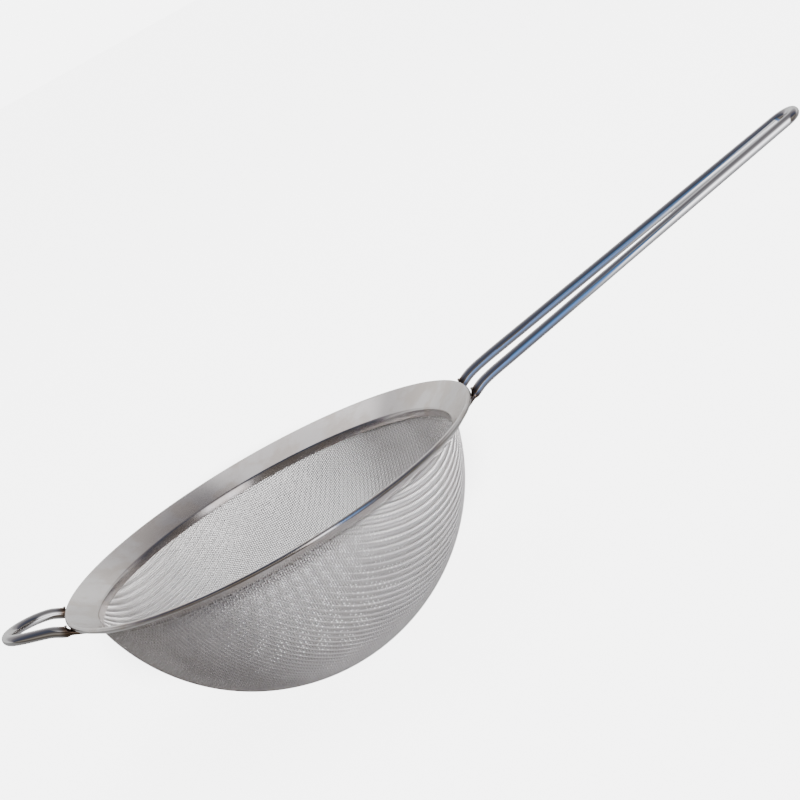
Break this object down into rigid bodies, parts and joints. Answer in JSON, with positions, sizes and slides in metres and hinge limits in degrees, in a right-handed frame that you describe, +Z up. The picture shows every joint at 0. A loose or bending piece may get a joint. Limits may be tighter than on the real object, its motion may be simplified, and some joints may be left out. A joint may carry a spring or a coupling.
{
  "type": "tea strainer",
  "caption": "Long-handled tea strainer: a round-bottomed wire-gauze bowl in a folded flared rim, with a wire loop handle and a rest loop opposite.",
  "frame": {"origin": "middle of the small flat on the underside of the gauze bowl, on the bowl's axis", "axes": "+Z up along the bowl's axis, the bowl opening upwards; +X from the bowl's axis along the handle; the rest loop is at -X; symmetric about the XZ plane"},
  "size_m": [0.2494, 0.12, 0.0686],
  "materials": {
    "rim_steel": "satin flange with a polished collar and bend",
    "gauze_steel": "bright drawn stainless wire, plain woven",
    "wire_steel": "highly polished round stainless wire, brown heat tint at the welds",
    "weld_steel": "dark, heat-tinted weld metal"
  },
  "bodies": {
    "root": {"rim_ring": "rim_steel", "mesh_bowl": "gauze_steel", "handle_wire": "wire_steel", "rest_loop": "wire_steel", "handle_weld_far": "weld_steel", "handle_weld_near": "weld_steel", "rest_weld_far": "weld_steel", "rest_weld_near": "weld_steel"}
  },
  "joints": []
}
